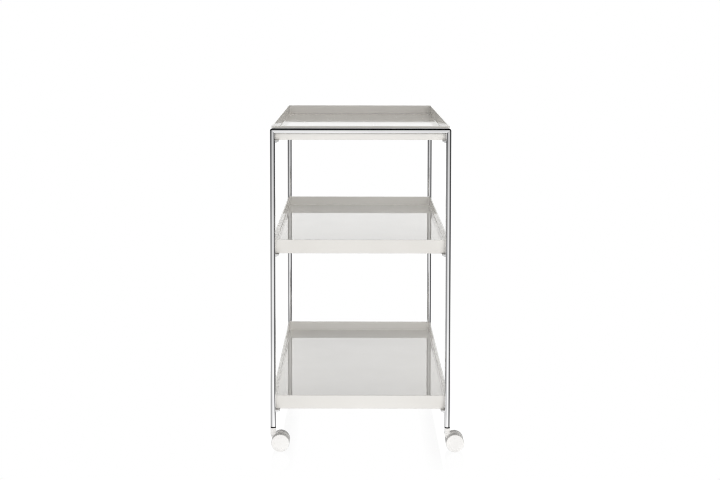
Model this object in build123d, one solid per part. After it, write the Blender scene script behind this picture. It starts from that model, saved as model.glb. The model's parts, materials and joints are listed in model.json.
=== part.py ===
from build123d import *
from math import radians, tan
import os

# Three-tier serving trolley: two inverted-U chromed tube end frames, three moulded
# trays screwed to brackets on the legs, and four swivelling twin-wheel casters.
# Millimetres, +Z up, X across the short side, Y along the length, floor at Z = 0.

# ---------------------------------------------------------------- driving dimensions
FRAME_WIDTH = 400.0          # across the outside of the legs
FRAME_LENGTH = 800.0         # over the outside of both end frames
FRAME_HEIGHT = 720.0         # top of the top bars
TUBE_RADIUS = 6.0
TUBE_WALL = 1.5
LEG_END_HEIGHT = 50.0        # underside of the plastic socket in each leg

TRAY_WIDTH = 395.0           # outside of the rim
TUBE_TO_TRAY_GAP = 3.5       # end wall's rim to the end frame's tubes
TRAY_HEIGHT = 31.0
TRAY_DEPTH = 23.0            # rim down to the inside floor
TRAY_WALL = 3.0
TRAY_FLOOR = 3.0
TRAY_DRAFT = 3.0             # degrees
TRAY_CORNER_RADIUS = 5.0     # outside, in plan
TRAY_RIM_EDGE_RADIUS = 0.8
TRAY_BOTTOM_EDGE_RADIUS = 1.2
TRAY_FLOOR_EDGE_RADIUS = 2.5
TRAY_RIM_HEIGHTS = {"top": 724.0, "middle": 471.0, "bottom": 120.5}
RIB_THICKNESS = 2.0
RIB_HEIGHT = 4.0
LONG_RIBS = 3
CROSS_RIBS = 7
BOSS_RADIUS = 4.0

BRACKET_THICKNESS = 2.5
BRACKET_REACH = 14.0         # from the leg's axis, across the trolley
BRACKET_OUTER = 3.0          # past the leg's axis, away from the middle
BRACKET_FRONT = 2.5          # past the leg's axis, away from the tray
BRACKET_LENGTH = 32.0        # from the leg's axis, under the tray
BRACKET_CORNER_RADIUS = 4.0
GUSSET_THICKNESS = 3.0
GUSSET_TOP_WIDTH = 12.5      # from the leg's axis
GUSSET_BOTTOM_WIDTH = 8.5
GUSSET_DROP = 2.7

SCREW_ACROSS = 9.8           # screw's place from the leg's axis
SCREW_ALONG = 22.0
SCREW_RADIUS = 1.5
SCREW_CLEARANCE = 0.05
SCREW_IN_TRAY = 6.4
PILOT_DEPTH = 7.0
SCREW_HEAD_RADIUS = 2.85
SCREW_HEAD_HEIGHT = 1.65
SCREW_HEAD_ROUNDING = 1.0
SCREW_TIP_CHAMFER = 0.4
HEX_KEY_ACROSS_FLATS = 2.0
HEX_KEY_DEPTH = 1.0

SOCKET_FLANGE = 2.8
SOCKET_LENGTH = 36.0         # above the flange
STEM_RADIUS = 3.0
STEM_CLEARANCE = 0.05
STEM_TOP = 85.5
STEM_SHOULDER = 44.0
STEM_LOWER_RADIUS = 2.25
STEM_BOTTOM = 30.0
STEM_TIP_CHAMFER = 0.8
SOCKET_ROOF = 86.0
GROOVE_RADIUS = 2.3
GROOVE_BOTTOM = 78.3
GROOVE_TOP = 81.2
RECESS_RADIUS = 3.75
RECESS_BOTTOM = 77.8
RECESS_TOP = 81.7
GRIP_RING_RADIUS = 3.45
GRIP_RING_BOTTOM = 78.6
GRIP_RING_TOP = 80.9
GRIP_RING_MOUTH = 2.2        # width of the gap in the split ring

WHEEL_RADIUS = 20.0
CASTER_TRAIL = 16.5          # swivel axis to axle
CASTER_WIDTH = 43.0          # over both wheels
WHEEL_INNER_FACE = 4.0       # caster's mid plane to each wheel
TREAD_THICKNESS = 2.5
TREAD_SHOULDER_RADIUS = 1.0
CORE_RIM = 2.2
CORE_FACE = 2.4
FACE_RADIUS = 19.4           # white face, which covers the tread's outer side
FACE_EDGE_THICKNESS = 1.6
FACE_EDGE_ROUNDING = 0.6
CORE_DOME = 0.9              # height of the crowned face
FACE_FLAT_RADIUS = 3.0       # flat middle of the crowned face
FACE_RING_RADIUS = 13.4      # shallow ring groove in the wheel's face
FACE_RING_WIDTH = 0.9
FACE_RING_DEPTH = 0.75       # below the middle of the face
HUB_RADIUS = 5.0
WEB_THICKNESS = 7.4
WEB_RADIUS = 15.0
NECK_RADIUS = 6.0
NECK_BOTTOM = 38.6
NECK_TOP = 49.7
AXLE_RADIUS = 2.0
AXLE_CLEARANCE = 0.05
AXLE_HALF_LENGTH = 18.2
AXLE_END_CHAMFER = 0.5
AXLE_HOLE_END = 18.6
SNAP_DEPTH = 0.2
SNAP_PLACE = 13.5            # snap groove from the caster's mid plane
SNAP_WIDTH = 0.6
SNAP_PLAY = 0.25

# ---------------------------------------------------------------- worked-out places
LEG_X = FRAME_WIDTH / 2 - TUBE_RADIUS
LEG_Y = FRAME_LENGTH / 2 - TUBE_RADIUS
BAR_Z = FRAME_HEIGHT - TUBE_RADIUS
TUBE_INNER_RADIUS = TUBE_RADIUS - TUBE_WALL
LEG_TUBE_END = LEG_END_HEIGHT + SOCKET_FLANGE
TRAY_LENGTH = FRAME_LENGTH - 4 * TUBE_RADIUS - 2 * TUBE_TO_TRAY_GAP
TRAY_SKIRT = TRAY_HEIGHT - TRAY_DEPTH - TRAY_FLOOR
CASTER_HALF_WIDTH = CASTER_WIDTH / 2
TREAD_INNER_RADIUS = WHEEL_RADIUS - TREAD_THICKNESS

# The front casters stand turned across the trolley and trail towards +X; the rear
# ones stand in line and trail towards -Y.  The box over everything is centred on the
# origin, so the end frames' own centre is a little off it.
FRONT_TURN = 0.0
REAR_TURN = -90.0
HIGH_X = LEG_X + CASTER_TRAIL + WHEEL_RADIUS
LOW_X = -LEG_X - CASTER_HALF_WIDTH
LOW_Y = -LEG_Y - CASTER_HALF_WIDTH
HIGH_Y = FRAME_LENGTH / 2
FRAME_CENTRE = Pos(-(LOW_X + HIGH_X) / 2, -(LOW_Y + HIGH_Y) / 2, 0)

ENDS = {"front": -1, "rear": 1}
SIDES = {"left": -1, "right": 1}


def rod(radius, bottom, top):
    """Upright cylinder between two heights on the Z axis."""
    return Pos(0, 0, bottom) * Cylinder(radius, top - bottom, align=(Align.CENTER, Align.CENTER, Align.MIN))


def at_leg(shape, side, end, turn=0.0):
    """Carry a shape from the Z axis to a leg, turned about that leg."""
    return FRAME_CENTRE * Pos(side * LEG_X, end * LEG_Y, 0) * Rot(0, 0, turn) * shape


def mirrored_to(shape, side, end):
    """Mirror a front-left shape for another corner."""
    if side > 0:
        shape = mirror(shape, about=Plane.YZ)
    if end > 0:
        shape = mirror(shape, about=Plane.XZ)
    return shape


# ---------------------------------------------------------------- end frames
def leg_tube(side):
    """Leg on the Z axis, mitred into the top bar; a ball rounds the mitre's outside."""
    outside = rod(TUBE_RADIUS, LEG_TUBE_END, BAR_Z) + Pos(0, 0, BAR_Z) * Sphere(TUBE_RADIUS)
    inside = rod(TUBE_INNER_RADIUS, LEG_TUBE_END, BAR_Z) + Pos(0, 0, BAR_Z) * Sphere(TUBE_INNER_RADIUS)
    mitre = Plane(origin=(0, 0, BAR_Z), z_dir=(-side, 0, 1))
    return split(outside - inside, bisect_by=mitre, keep=Keep.BOTTOM)


def bar_tube():
    """Top bar across one end, mitred into both legs."""
    tube = Rot(0, 90, 0) * Cylinder(TUBE_RADIUS, 2 * LEG_X)
    hollow = Rot(0, 90, 0) * Cylinder(TUBE_INNER_RADIUS, 2 * LEG_X)
    for side in SIDES.values():
        tube += Pos(side * LEG_X, 0, 0) * Sphere(TUBE_RADIUS)
        hollow += Pos(side * LEG_X, 0, 0) * Sphere(TUBE_INNER_RADIUS)
    bar = tube - hollow
    for side in SIDES.values():
        mitre = Plane(origin=(side * LEG_X, 0, 0), z_dir=(-side, 0, 1))
        bar = split(bar, bisect_by=mitre, keep=Keep.TOP)
    return Pos(0, 0, BAR_Z) * bar


def tray_bracket():
    """Plate under the front-left tray corner, with a gusset below; welded to the leg."""
    width = BRACKET_REACH + BRACKET_OUTER
    length = BRACKET_LENGTH + BRACKET_FRONT
    plate = Pos(-BRACKET_OUTER, -BRACKET_FRONT, -BRACKET_THICKNESS) * Box(
        width, length, BRACKET_THICKNESS, align=(Align.MIN, Align.MIN, Align.MIN)
    )
    far_corners = plate.edges().filter_by(Axis.Z).sort_by(Axis.Y)[-2:]
    plate = fillet(far_corners, BRACKET_CORNER_RADIUS)
    gusset_outline = Polyline(
        (0, -BRACKET_THICKNESS),
        (GUSSET_TOP_WIDTH, -BRACKET_THICKNESS),
        (GUSSET_BOTTOM_WIDTH, -BRACKET_THICKNESS - GUSSET_DROP),
        (0, -BRACKET_THICKNESS - GUSSET_DROP),
        close=True,
    )
    gusset = extrude(Plane.XZ * make_face(gusset_outline), GUSSET_THICKNESS / 2, both=True)
    leg = Cylinder(TUBE_RADIUS, BRACKET_LENGTH)
    hole = Pos(SCREW_ACROSS, SCREW_ALONG, 0) * Cylinder(SCREW_RADIUS + SCREW_CLEARANCE, TRAY_HEIGHT)
    return plate + gusset - leg - hole


def tray_screw():
    """Button-head screw up through the front-left bracket, Z = 0 at the tray's underside."""
    head_seat = -BRACKET_THICKNESS
    head = rod(SCREW_HEAD_RADIUS, head_seat - SCREW_HEAD_HEIGHT, head_seat)
    head_edge = head.edges().filter_by(GeomType.CIRCLE).sort_by(Axis.Z)[0]
    head = fillet(head_edge, SCREW_HEAD_ROUNDING)
    key = Pos(0, 0, head_seat - SCREW_HEAD_HEIGHT) * extrude(
        RegularPolygon(HEX_KEY_ACROSS_FLATS / 2, 6, major_radius=False), HEX_KEY_DEPTH
    )
    shank = rod(SCREW_RADIUS, head_seat, SCREW_IN_TRAY)
    shank = chamfer(shank.edges().sort_by(Axis.Z)[-1], SCREW_TIP_CHAMFER)
    return Pos(SCREW_ACROSS, SCREW_ALONG, 0) * (head + shank - key)


# ---------------------------------------------------------------- trays
def drafted_block(width, length, corner_radius, bottom, top, rim):
    """Block with draft whose plan size is width x length at the height named rim."""
    inset = 2 * (rim - bottom) * tan(radians(TRAY_DRAFT))
    outline = RectangleRounded(width - inset, length - inset, corner_radius)
    return extrude(Pos(0, 0, bottom) * outline, top - bottom, taper=-TRAY_DRAFT)


def tray():
    """Open tray with a skirt, ribs and screw bosses beneath; Z = 0 at its underside."""
    floor_top = TRAY_HEIGHT - TRAY_DEPTH
    inner_corner = TRAY_CORNER_RADIUS - TRAY_WALL / 2
    shell = drafted_block(TRAY_WIDTH, TRAY_LENGTH, TRAY_CORNER_RADIUS, 0, TRAY_HEIGHT, TRAY_HEIGHT)
    shell = fillet(shell.faces().sort_by(Axis.Z)[0].edges(), TRAY_BOTTOM_EDGE_RADIUS)
    inner_width = TRAY_WIDTH - 2 * TRAY_WALL
    inner_length = TRAY_LENGTH - 2 * TRAY_WALL
    hollow = drafted_block(
        inner_width, inner_length, inner_corner, floor_top, TRAY_HEIGHT + TRAY_WALL, TRAY_HEIGHT
    )
    hollow = fillet(hollow.faces().sort_by(Axis.Z)[0].edges(), TRAY_FLOOR_EDGE_RADIUS)
    shell -= hollow
    rim_edges = shell.faces().filter_by(Plane.XY).sort_by(Axis.Z)[-1].edges()
    shell = fillet(rim_edges, TRAY_RIM_EDGE_RADIUS)

    skirt_inset = 2 * TRAY_HEIGHT * tan(radians(TRAY_DRAFT)) + 2 * TRAY_WALL
    recess_width = TRAY_WIDTH - skirt_inset
    recess_length = TRAY_LENGTH - skirt_inset
    shell -= extrude(RectangleRounded(recess_width, recess_length, inner_corner), TRAY_SKIRT)

    rib_bottom = TRAY_SKIRT - RIB_HEIGHT
    rib_align = (Align.CENTER, Align.CENTER, Align.MIN)
    for number in range(1, LONG_RIBS + 1):
        x = recess_width * (number / (LONG_RIBS + 1) - 0.5)
        shell += Pos(x, 0, rib_bottom) * Box(RIB_THICKNESS, recess_length, RIB_HEIGHT, align=rib_align)
    for number in range(1, CROSS_RIBS + 1):
        y = recess_length * (number / (CROSS_RIBS + 1) - 0.5)
        shell += Pos(0, y, rib_bottom) * Box(recess_width, RIB_THICKNESS, RIB_HEIGHT, align=rib_align)

    for side in SIDES.values():
        for end in ENDS.values():
            place = Pos(side * (LEG_X - SCREW_ACROSS), end * (LEG_Y - SCREW_ALONG), 0)
            shell += place * rod(BOSS_RADIUS, 0, TRAY_SKIRT)
            shell -= place * rod(SCREW_RADIUS + SCREW_CLEARANCE, 0, PILOT_DEPTH)
    return shell


# ---------------------------------------------------------------- casters
def leg_socket():
    """Black plastic bush pressed into the leg's end; the caster's stem turns in it."""
    bush = rod(TUBE_RADIUS, LEG_END_HEIGHT, LEG_TUBE_END)
    bush += rod(TUBE_INNER_RADIUS, LEG_TUBE_END, LEG_TUBE_END + SOCKET_LENGTH)
    bush -= rod(STEM_RADIUS + STEM_CLEARANCE, LEG_END_HEIGHT, SOCKET_ROOF)
    return bush - rod(RECESS_RADIUS, RECESS_BOTTOM, RECESS_TOP)


def caster_stem():
    """Steel stem, moulded into the caster's neck, with a groove for the grip ring."""
    stem = rod(STEM_LOWER_RADIUS, STEM_BOTTOM, STEM_SHOULDER)
    stem += rod(STEM_RADIUS, STEM_SHOULDER, STEM_TOP)
    stem = chamfer(stem.edges().sort_by(Axis.Z)[-1], STEM_TIP_CHAMFER)
    groove = rod(STEM_RADIUS, GROOVE_BOTTOM, GROOVE_TOP) - rod(GROOVE_RADIUS, GROOVE_BOTTOM, GROOVE_TOP)
    return stem - groove


def grip_ring():
    """Split spring ring in the stem's groove; it snaps into the socket's recess."""
    ring = rod(GRIP_RING_RADIUS, GRIP_RING_BOTTOM, GRIP_RING_TOP)
    ring -= rod(GROOVE_RADIUS, GRIP_RING_BOTTOM, GRIP_RING_TOP)
    ring_middle = (GRIP_RING_BOTTOM + GRIP_RING_TOP) / 2
    mouth_size = 2 * GRIP_RING_RADIUS
    mouth = Pos(GRIP_RING_RADIUS, 0, ring_middle) * Box(mouth_size, GRIP_RING_MOUTH, mouth_size)
    return ring - mouth


def caster_body():
    """Web between the wheels, rising into the round neck; trails towards +X."""
    axle_place = Pos(CASTER_TRAIL, WHEEL_RADIUS)
    outline = axle_place * Circle(WEB_RADIUS)
    shoulder = Pos(0, NECK_BOTTOM - 1) * Rectangle(2 * NECK_RADIUS, 2)
    profile = make_hull(outline.edges() + shoulder.edges())
    body = extrude(Plane.XZ * profile, WEB_THICKNESS / 2, both=True)
    body += rod(NECK_RADIUS, NECK_BOTTOM, NECK_TOP)
    body -= rod(STEM_LOWER_RADIUS, STEM_BOTTOM, STEM_SHOULDER)
    body -= rod(STEM_RADIUS, STEM_SHOULDER, NECK_TOP)
    axle_hole = Pos(CASTER_TRAIL, 0, WHEEL_RADIUS) * Rot(90, 0, 0) * Cylinder(AXLE_RADIUS, CASTER_WIDTH)
    return body - axle_hole


def caster_axle():
    """Steel pin with a snap groove near each end."""
    pin = Cylinder(AXLE_RADIUS, 2 * AXLE_HALF_LENGTH)
    pin = chamfer(pin.edges().filter_by(GeomType.CIRCLE), AXLE_END_CHAMFER)
    groove_width = SNAP_WIDTH + 2 * SNAP_PLAY
    groove = Cylinder(AXLE_RADIUS, groove_width) - Cylinder(AXLE_RADIUS - 2 * SNAP_DEPTH, groove_width)
    for side in SIDES.values():
        pin -= Pos(0, 0, side * SNAP_PLACE) * groove
    return Pos(CASTER_TRAIL, 0, WHEEL_RADIUS) * Rot(90, 0, 0) * pin


def on_axle(shape, side):
    """Carry a shape turned about the Y axis to the axle line, on its +Y or -Y side."""
    if side < 0:
        shape = mirror(shape, about=Plane.XZ)
    return Pos(CASTER_TRAIL, 0, WHEEL_RADIUS) * shape


def wheel_core(side):
    """White wheel: hub with a snap bead in its blind axle hole, rim, and a wide crowned face."""
    rim_outer = TREAD_INNER_RADIUS
    rim_inner = rim_outer - CORE_RIM
    face_edge = CASTER_HALF_WIDTH - CORE_DOME
    face_back = face_edge - CORE_FACE
    bore = AXLE_RADIUS + AXLE_CLEARANCE
    bead = AXLE_RADIUS - SNAP_DEPTH
    crown_middle = (FACE_RADIUS + FACE_FLAT_RADIUS) / 2
    back_and_rim = Polyline(
        (FACE_FLAT_RADIUS, CASTER_HALF_WIDTH),
        (0, CASTER_HALF_WIDTH),
        (0, AXLE_HOLE_END),
        (bore, AXLE_HOLE_END),
        (bore, SNAP_PLACE + SNAP_WIDTH / 2),
        (bead, SNAP_PLACE + SNAP_WIDTH / 2),
        (bead, SNAP_PLACE - SNAP_WIDTH / 2),
        (bore, SNAP_PLACE - SNAP_WIDTH / 2),
        (bore, WHEEL_INNER_FACE),
        (HUB_RADIUS, WHEEL_INNER_FACE),
        (HUB_RADIUS, face_back),
        (rim_inner, face_back),
        (rim_inner, WHEEL_INNER_FACE),
        (rim_outer, WHEEL_INNER_FACE),
        (rim_outer, face_edge - FACE_EDGE_THICKNESS),
        (FACE_RADIUS, face_edge - FACE_EDGE_THICKNESS),
        (FACE_RADIUS, face_edge),
    )
    crown = ThreePointArc(
        (FACE_RADIUS, face_edge),
        (crown_middle, CASTER_HALF_WIDTH - CORE_DOME / 4),
        (FACE_FLAT_RADIUS, CASTER_HALF_WIDTH),
    )
    profile = make_face([*back_and_rim.edges(), crown])
    face_corner = profile.vertices().sort_by_distance((FACE_RADIUS, face_edge))[0]
    core = revolve(fillet(face_corner, FACE_EDGE_ROUNDING), Axis.Y)
    ring_cut = Cylinder(FACE_RING_RADIUS, FACE_RING_DEPTH)
    ring_cut -= Cylinder(FACE_RING_RADIUS - FACE_RING_WIDTH, FACE_RING_DEPTH)
    core -= Pos(0, CASTER_HALF_WIDTH - FACE_RING_DEPTH / 2, 0) * Rot(90, 0, 0) * ring_cut
    return on_axle(core, side)


def wheel_tread(side):
    """Soft grey ring round the wheel's rim, behind the face's edge, with rounded shoulders."""
    shoulder = CASTER_HALF_WIDTH - CORE_DOME - FACE_EDGE_THICKNESS
    profile = Polyline(
        (TREAD_INNER_RADIUS, WHEEL_INNER_FACE),
        (WHEEL_RADIUS, WHEEL_INNER_FACE),
        (WHEEL_RADIUS, shoulder),
        (TREAD_INNER_RADIUS, shoulder),
        close=True,
    )
    face = make_face(profile)
    outer_corners = face.vertices().sort_by(Axis.X)[-2:]
    face = fillet(outer_corners, TREAD_SHOULDER_RADIUS)
    return on_axle(revolve(face, Axis.Y), side)


# ---------------------------------------------------------------- assembly
def build_nodes():
    nodes = {}
    leg_shapes = {side: leg_tube(side) for side in SIDES.values()}
    bar_shape = bar_tube()
    bracket_shape = tray_bracket()
    screw_shape = tray_screw()
    tray_shape = tray()

    for end_name, end in ENDS.items():
        nodes[f"top_bar_{end_name}"] = FRAME_CENTRE * Pos(0, end * LEG_Y, 0) * bar_shape
        for side_name, side in SIDES.items():
            nodes[f"leg_{end_name}_{side_name}"] = at_leg(leg_shapes[side], side, end)

    for tier, rim_height in TRAY_RIM_HEIGHTS.items():
        underside = rim_height - TRAY_HEIGHT
        nodes[f"tray_{tier}"] = FRAME_CENTRE * Pos(0, 0, underside) * tray_shape
        screws = []
        for end_name, end in ENDS.items():
            for side_name, side in SIDES.items():
                bracket = Pos(0, 0, underside) * mirrored_to(bracket_shape, side, end)
                nodes[f"tray_bracket_{tier}_{end_name}_{side_name}"] = at_leg(bracket, side, end)
                screw = Pos(0, 0, underside) * mirrored_to(screw_shape, side, end)
                screws.append(at_leg(screw, side, end))
        nodes[f"tray_screws_{tier}"] = Compound(children=screws)

    socket_shape = leg_socket()
    stem_shape = caster_stem()
    ring_shape = grip_ring()
    body_shape = caster_body()
    axle_shape = caster_axle()
    cores = {side: wheel_core(side) for side in SIDES.values()}
    treads = {side: wheel_tread(side) for side in SIDES.values()}
    for end_name, end in ENDS.items():
        turn = FRONT_TURN if end < 0 else REAR_TURN
        for side_name, side in SIDES.items():
            corner = f"{end_name}_{side_name}"
            outer_side = -1 if end < 0 else side
            nodes[f"leg_socket_{corner}"] = at_leg(socket_shape, side, end)
            nodes[f"caster_stem_{corner}"] = at_leg(stem_shape, side, end, turn)
            nodes[f"caster_grip_ring_{corner}"] = at_leg(ring_shape, side, end, turn)
            nodes[f"caster_body_{corner}"] = at_leg(body_shape, side, end, turn)
            nodes[f"caster_axle_{corner}"] = at_leg(axle_shape, side, end, turn)
            for place_name, wheel_side in (("outer", outer_side), ("inner", -outer_side)):
                wheel_name = f"{corner}_{place_name}"
                nodes[f"wheel_core_{wheel_name}"] = at_leg(cores[wheel_side], side, end, turn)
                nodes[f"wheel_tread_{wheel_name}"] = at_leg(treads[wheel_side], side, end, turn)
    return nodes


os.makedirs("parts", exist_ok=True)
for node_name, node_shape in build_nodes().items():
    export_step(node_shape, f"parts/{node_name}.step")
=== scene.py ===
import json
from math import cos, pi, radians, sin

import bpy
from mathutils import Matrix, Vector


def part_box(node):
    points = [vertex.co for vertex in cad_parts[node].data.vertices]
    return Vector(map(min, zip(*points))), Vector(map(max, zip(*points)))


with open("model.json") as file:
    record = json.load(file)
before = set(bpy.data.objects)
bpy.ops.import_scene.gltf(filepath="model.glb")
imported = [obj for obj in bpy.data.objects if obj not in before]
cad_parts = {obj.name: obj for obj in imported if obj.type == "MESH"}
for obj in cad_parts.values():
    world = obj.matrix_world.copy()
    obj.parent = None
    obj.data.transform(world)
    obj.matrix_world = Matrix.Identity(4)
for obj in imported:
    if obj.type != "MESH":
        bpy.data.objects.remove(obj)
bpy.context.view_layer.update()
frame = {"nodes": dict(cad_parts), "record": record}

# ------------------------------------------------------------------ places, from the frame
def middle(node):
    low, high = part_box(node)
    return (low + high) / 2


CART_CENTRE = (middle("leg_front_left") + middle("leg_rear_right")) / 2


# ------------------------------------------------------------------ node helpers
class Shader:
    """A material's node tree, with short calls for the nodes that the finishes share. Patterns are in metres."""

    def __init__(self, name):
        self.material = bpy.data.materials.new(name)
        self.material.use_nodes = True
        self.nodes = self.material.node_tree.nodes
        self.links = self.material.node_tree.links
        self.surface = self.nodes["Principled BSDF"]
        self.place = self.nodes.new("ShaderNodeTexCoord").outputs["Object"]

    def set(self, **values):
        for name, value in values.items():
            self.surface.inputs[name.replace("_", " ")].default_value = value

    def link(self, source, name):
        self.links.new(source, self.surface.inputs[name])

    def stretched(self, scale):
        node = self.nodes.new("ShaderNodeMapping")
        node.inputs["Scale"].default_value = scale
        self.links.new(self.place, node.inputs["Vector"])
        return node.outputs["Vector"]

    def noise(self, scale, detail=3.0, stretch=(1, 1, 1)):
        node = self.nodes.new("ShaderNodeTexNoise")
        node.inputs["Scale"].default_value = scale
        node.inputs["Detail"].default_value = detail
        self.links.new(self.stretched(stretch), node.inputs["Vector"])
        return node.outputs["Fac"]

    def spread(self, source, low, high, from_low=0.3, from_high=0.7):
        """Map a pattern's usual range to low .. high."""
        node = self.nodes.new("ShaderNodeMapRange")
        node.inputs["From Min"].default_value = from_low
        node.inputs["From Max"].default_value = from_high
        node.inputs["To Min"].default_value = low
        node.inputs["To Max"].default_value = high
        self.links.new(source, node.inputs["Value"])
        return node.outputs["Result"]

    def math(self, operation, first, second):
        node = self.nodes.new("ShaderNodeMath")
        node.operation = operation
        for socket, value in zip(node.inputs, (first, second)):
            if isinstance(value, (int, float)):
                socket.default_value = value
            else:
                self.links.new(value, socket)
        return node.outputs["Value"]

    def colours(self, source, low, high):
        node = self.nodes.new("ShaderNodeMix")
        node.data_type = "RGBA"
        node.inputs[6].default_value = (*low, 1)
        node.inputs[7].default_value = (*high, 1)
        self.links.new(source, node.inputs[0])
        return node.outputs[2]

    def bump(self, source, depth, under=None):
        node = self.nodes.new("ShaderNodeBump")
        node.inputs["Distance"].default_value = depth
        self.links.new(source, node.inputs["Height"])
        if under is not None:
            self.links.new(under, node.inputs["Normal"])
        return node.outputs["Normal"]


# ------------------------------------------------------------------ materials
def chrome_finish(name, low, high):
    """Polished chrome plate: faint polishing lines, cleaner and hazier patches."""
    s = Shader(name)
    s.set(Metallic=1.0)
    patches = s.noise(14, 4)
    s.link(s.colours(s.spread(patches, 0, 1), low, high), "Base Color")
    haze = s.spread(s.noise(60, 5), 0.018, 0.055)
    specks = s.spread(s.noise(900, 2), 0.0, 0.12, 0.66, 0.8)
    s.link(s.math("ADD", haze, specks), "Roughness")
    lines = s.bump(s.noise(1500, 2, (1, 1, 0.06)), 0.000001)
    s.link(s.bump(s.noise(26, 2), 0.000006, under=lines), "Normal")
    return s.material


def tray_finish():
    """Warm off-white moulded plastic, high gloss, with hairline scuffs and faint smears."""
    s = Shader("tray_gloss")
    s.set(IOR=1.5)
    tone = s.noise(9, 4)
    s.link(s.colours(s.spread(tone, 0, 1), (0.875, 0.868, 0.848), (0.905, 0.899, 0.882)), "Base Color")
    smears = s.spread(s.noise(16, 6, (1, 0.45, 1)), 0.015, 0.06)
    along = s.spread(s.noise(260, 2, (1, 0.03, 1)), 0.0, 0.1, 0.62, 0.76)
    across = s.spread(s.noise(230, 2, (0.035, 1, 1)), 0.0, 0.08, 0.64, 0.78)
    s.link(s.math("ADD", smears, s.math("ADD", along, across)), "Roughness")
    grain = s.bump(s.noise(1300, 2), 0.0000005)
    s.link(s.bump(s.noise(7, 1), 0.00002, under=grain), "Normal")
    return s.material


def nylon_finish():
    """White moulded nylon with a fine eggshell surface."""
    s = Shader("caster_nylon")
    s.set(IOR=1.53)
    s.link(s.colours(s.spread(s.noise(60, 3), 0, 1), (0.95, 0.95, 0.95), (0.98, 0.98, 0.98)), "Base Color")
    s.link(s.spread(s.noise(180, 3), 0.26, 0.42), "Roughness")
    s.link(s.bump(s.noise(1400, 2), 0.000004), "Normal")
    return s.material


def tread_finish():
    """Soft light-grey tread, matt, dusty in places."""
    s = Shader("caster_tread")
    dust = s.noise(110, 4)
    s.link(s.colours(s.spread(dust, 0, 1), (0.67, 0.67, 0.665), (0.72, 0.72, 0.715)), "Base Color")
    s.link(s.spread(s.noise(300, 3), 0.5, 0.75), "Roughness")
    s.link(s.bump(s.noise(2200, 3), 0.000008), "Normal")
    return s.material


def socket_finish():
    """Black moulded plastic."""
    s = Shader("socket_black")
    s.link(s.colours(s.spread(s.noise(200, 3), 0, 1), (0.004, 0.004, 0.004), (0.01, 0.01, 0.01)), "Base Color")
    s.set(IOR=1.35)
    s.link(s.spread(s.noise(400, 3), 0.45, 0.65), "Roughness")
    s.link(s.bump(s.noise(1800, 2), 0.00001), "Normal")
    return s.material


def steel_finish(name, low, high):
    """Turned or plated steel with fine tool marks."""
    s = Shader(name)
    s.set(Metallic=1.0)
    s.link(s.colours(s.spread(s.noise(300, 4), 0, 1), low, high), "Base Color")
    s.link(s.spread(s.noise(700, 3), 0.2, 0.38), "Roughness")
    s.link(s.bump(s.noise(3000, 2, (0.2, 0.2, 1)), 0.00001), "Normal")
    return s.material


FINISH = {
    "chrome_tube": chrome_finish("chrome_tube_plate", (0.80, 0.80, 0.81), (0.87, 0.87, 0.875)),
    "chrome_bracket": chrome_finish("chrome_bracket_plate", (0.62, 0.62, 0.625), (0.72, 0.72, 0.72)),
    "tray": tray_finish(),
    "screw": steel_finish("zinc_screw", (0.5, 0.5, 0.51), (0.66, 0.66, 0.67)),
    "socket": socket_finish(),
    "steel_pin": steel_finish("turned_steel", (0.45, 0.45, 0.46), (0.6, 0.6, 0.61)),
    "caster_white": nylon_finish(),
    "tread": tread_finish(),
}

SLOT_OF = {part["node"]: part["material_slot"] for part in frame["record"]["subparts"]}
for node_name, node_object in frame["nodes"].items():
    node_object.data.materials.clear()
    node_object.data.materials.append(FINISH[SLOT_OF[node_name]])

# ------------------------------------------------------------------ stage
FLOOR_RADIUS = 0.56     # small enough that the legs don't mirror it, except near their ends
FLOOR_DROP = 0.0003     # just under the wheels
FLOOR_GLOW = 1.15       # what it gives to the cart
FLOOR_SHEEN = 0.06      # how much it mirrors by the wheels


class Light:
    """The world's node tree, with short calls for building light from directions."""

    def __init__(self):
        world = bpy.data.worlds.new("studio")
        bpy.context.scene.world = world
        world.use_nodes = True
        self.nodes, self.links = world.node_tree.nodes, world.node_tree.links
        self.nodes.clear()

    def add(self, kind, *sources):
        node = self.nodes.new(kind)
        for socket, source in zip(node.inputs, sources):
            if isinstance(source, (int, float)):
                socket.default_value = source
            else:
                self.links.new(source, socket)
        return node

    def maths(self, operation, *sources):
        node = self.add("ShaderNodeMath", *sources)
        node.operation = operation
        return node.outputs[0]

    def ramp(self, source, stops):
        """Levels between stops; a stop is (place from 0 to 1, level)."""
        node = self.add("ShaderNodeValToRGB", source)
        elements = node.color_ramp.elements
        while len(elements) < len(stops):
            elements.new(0.5)
        for element, (position, level) in zip(elements, stops):
            element.position = position
            element.color = (level, level, level, 1)
        return node.outputs["Color"]

    def around(self, source, stops):
        """A ramp whose stops are degrees to the right of straight in front."""
        return self.ramp(source, [(0.5 + angle / 360, level) for angle, level in stops])

    def up(self, source, stops):
        """A ramp whose stops are degrees above the horizon."""
        return self.ramp(source, [(0.5 + angle / 180, level) for angle, level in stops])


# What the gloss reflects. In bearings, 0 is straight in front and 90 is to the right; a stop is (degrees, level).
BRIGHT_FRONT = [(-52, 0), (-38, 0.5), (-14, 0.68), (-4, 1), (34, 1), (50, 0)]
BRIGHT_BACK = [(-150, 1), (-134, 0), (134, 0), (150, 1)]
DIM_LEFT = [(-180, 0), (-160, 1), (-95, 1), (-80, 0.62), (-10, 0.62), (10, 0)]
DIM_RIGHT = [(-10, 0), (10, 1), (160, 1), (180, 0)]

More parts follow.
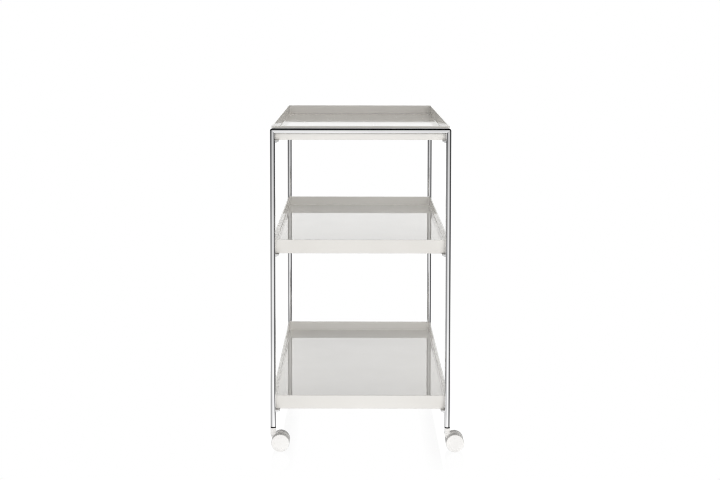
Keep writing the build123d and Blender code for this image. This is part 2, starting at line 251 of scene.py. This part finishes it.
# How each of them changes with height, in degrees above the horizon. It is black overhead.
FRONT_BELOW = [(-80, 0.45), (-55, 0.55), (-42, 0.5), (-32, 0.3), (-21, 0.3), (-17, 0.65), (-14, 0.65)]
FRONT_RISE = FRONT_BELOW + [(-7, 0.5), (-3, 0.42), (30, 0.42), (36, 0.34), (40, 0)]
BACK_RISE = [(-20, 0.8), (0, 0.82), (10, 0.84), (15, 0.97), (30, 0.97), (40, 0.5), (46, 0)]
LEFT_RISE = [(-16, 0.5), (-8, 0.25), (-3, 0.07), (40, 0.05), (46, 0)]
RIGHT_RISE = [(-16, 0.12), (-8, 0.08), (-3, 0.04), (40, 0.03), (46, 0)]
STUDIO_STRENGTH = 1.8


def set_world():
    """A bright front and back, dark flags at the sides and a dark ceiling; the camera itself sees plain white."""
    light = Light()
    place = light.add("ShaderNodeTexCoord").outputs["Generated"]
    x, y, z = light.add("ShaderNodeSeparateXYZ", place).outputs
    bearing = light.maths("ARCTAN2", x, light.maths("MULTIPLY", y, -1.0))
    bearing = light.maths("MULTIPLY_ADD", bearing, 0.5 / pi, 0.5)
    rise = light.maths("MULTIPLY_ADD", light.maths("ARCSINE", z), 1.0 / pi, 0.5)

    total = 0.0
    for around, up in (
        (BRIGHT_FRONT, FRONT_RISE),
        (BRIGHT_BACK, BACK_RISE),
        (DIM_LEFT, LEFT_RISE),
        (DIM_RIGHT, RIGHT_RISE),
    ):
        total = light.maths("MULTIPLY_ADD", light.around(bearing, around), light.up(rise, up), total)
    studio = light.add("ShaderNodeBackground")
    light.links.new(light.maths("MULTIPLY", total, STUDIO_STRENGTH), studio.inputs["Strength"])

    backdrop = light.add("ShaderNodeBackground")
    backdrop.inputs["Color"].default_value = (1, 1, 1, 1)
    backdrop.inputs["Strength"].default_value = 1.0
    seen = light.add("ShaderNodeLightPath").outputs["Is Camera Ray"]
    choose = light.add("ShaderNodeMixShader", seen, studio.outputs[0], backdrop.outputs[0])
    light.add("ShaderNodeOutputWorld", choose.outputs[0])


def add_softbox(name, size, place, aim, power, colour):
    """A large soft light that stays out of the reflections; place and aim are from the middle of the legs."""
    data = bpy.data.lights.new(name, "AREA")
    data.shape = "RECTANGLE"
    data.size, data.size_y = size
    data.energy = power
    data.color = colour
    lamp = bpy.data.objects.new(name, data)
    bpy.context.scene.collection.objects.link(lamp)
    lamp.location = CART_CENTRE + Vector(place)
    lamp.rotation_euler = (Vector(aim) - Vector(place)).to_track_quat("-Z", "Y").to_euler()
    lamp.visible_glossy = False
    lamp.visible_camera = False


def add_lights():
    """Weak light from above, so the trays' walls stay dim; more from in front, and fill for the other sides."""
    warm, neutral = (1, 0.945, 0.87), (1, 0.98, 0.95)
    add_softbox("overhead", (2.4, 1.8), (0.1, 0.3, 2.2), (0, 0, 0.35), 13, warm)
    add_softbox("front_fill", (2.8, 1.3), (0.4, -3.0, 0.8), (0, 0, 0), 23, warm)
    add_softbox("front_low", (2.4, 0.5), (0.3, -2.6, -0.3), (0, 0, -0.3), 8, neutral)
    add_softbox("back_fill", (2.8, 1.3), (0, 3.0, 0.3), (0, 0, 0), 5, neutral)
    add_softbox("back_low", (2.4, 0.5), (0, 3.0, -0.3), (0, 0, -0.2), 5, neutral)
    add_softbox("left_fill", (2.2, 1.0), (-3.0, 0, 0.15), (0, 0, 0), 10, neutral)
    add_softbox("left_low", (2.2, 0.5), (-2.8, 0, -0.3), (0, 0, -0.2), 18, neutral)
    add_softbox("right_fill", (2.2, 1.0), (3.0, 0, 0.15), (0, 0, 0), 10, neutral)
    add_softbox("right_low", (2.2, 0.5), (2.8, 0, -0.3), (0, 0, -0.2), 18, neutral)


def floor_finish():
    """Pale floor, white to the eye, with a faint sheen; its glow, which lights the cart, carries a painted shadow
    under the cart and painted shade at its sides.
    """
    s = Shader("floor_white")
    shade = s.nodes.new("ShaderNodeSeparateXYZ")
    s.links.new(s.place, shade.inputs[0])
    across = s.math("ABSOLUTE", shade.outputs[0], 0)
    along = s.math("ABSOLUTE", shade.outputs[1], 0)
    reach = s.math("MAXIMUM", s.math("DIVIDE", across, 0.2), s.math("DIVIDE", along, 0.4))
    # Painted shadow: the glow that lights the cart is dimmed under the cart, standing in for its cast shadow.
    under = s.spread(reach, 0.22, 1.0, 0.85, 1.15)
    # Painted shade: the glow is dimmed towards the floor's sides.
    painted_side_shade = s.spread(s.math("SUBTRACT", across, s.math("MULTIPLY", along, 0.6)), 1.0, 0.45, -0.1, 0.1)
    glow_with_painted_shade = s.math("MULTIPLY", s.math("MULTIPLY", under, painted_side_shade), FLOOR_GLOW)
    by_the_wheels = s.spread(across, 0.0, FLOOR_SHEEN, 0.14, 0.165)
    sheen = s.math("MULTIPLY", s.spread(reach, 1.0, 0.0, 1.0, 1.5), by_the_wheels)
    path = s.nodes.new("ShaderNodeLightPath")
    strength = s.nodes.new("ShaderNodeMix")
    s.links.new(glow_with_painted_shade, strength.inputs[2])
    s.links.new(s.math("SUBTRACT", 1.0, sheen), strength.inputs[3])
    s.links.new(path.outputs["Is Camera Ray"], strength.inputs[0])
    glow = s.nodes.new("ShaderNodeEmission")
    s.links.new(strength.outputs[0], glow.inputs["Strength"])
    gloss = s.nodes.new("ShaderNodeBsdfGlossy")
    gloss.inputs["Roughness"].default_value = 0.05
    s.links.new(sheen, gloss.inputs["Color"])
    both = s.nodes.new("ShaderNodeAddShader")
    s.links.new(glow.outputs[0], both.inputs[0])
    s.links.new(gloss.outputs[0], both.inputs[1])
    s.links.new(both.outputs[0], s.nodes["Material Output"].inputs["Surface"])
    return s.material


def add_floor():
    steps = 96
    turns = [2 * pi * step / steps for step in range(steps)]
    rim = [(FLOOR_RADIUS * cos(turn), FLOOR_RADIUS * sin(turn), 0) for turn in turns]
    mesh = bpy.data.meshes.new("floor")
    mesh.from_pydata(rim, [], [list(range(steps))])
    mesh.materials.append(floor_finish())
    floor = bpy.data.objects.new("floor", mesh)
    bpy.context.scene.collection.objects.link(floor)
    floor.location = (CART_CENTRE.x, CART_CENTRE.y, -FLOOR_DROP)


def add_camera():
    """The photograph's viewpoint: level with the top, 3 m in front, a little to the left."""
    data = bpy.data.cameras.new("camera")
    data.sensor_width = 36.0
    data.lens = 69.25
    data.shift_x = 0.0133
    data.shift_y = -0.1754
    camera = bpy.data.objects.new("camera", data)
    bpy.context.scene.collection.objects.link(camera)
    place = Vector((CART_CENTRE.x - 0.0106, CART_CENTRE.y - 3.4323, 0.9502))
    yaw, pitch, roll = radians(-0.224), radians(3.736), radians(0.051)
    turn = Matrix.Rotation(-yaw, 4, "Z") @ Matrix.Rotation(pi / 2 - pitch, 4, "X") @ Matrix.Rotation(roll, 4, "Z")
    camera.matrix_world = Matrix.Translation(place) @ turn
    bpy.context.scene.camera = camera


add_floor()
set_world()
add_lights()
add_camera()
bpy.context.scene.view_settings.view_transform = "Standard"
bpy.context.scene.cycles.use_denoising = True
bpy.context.scene.cycles.filter_width = 1.0
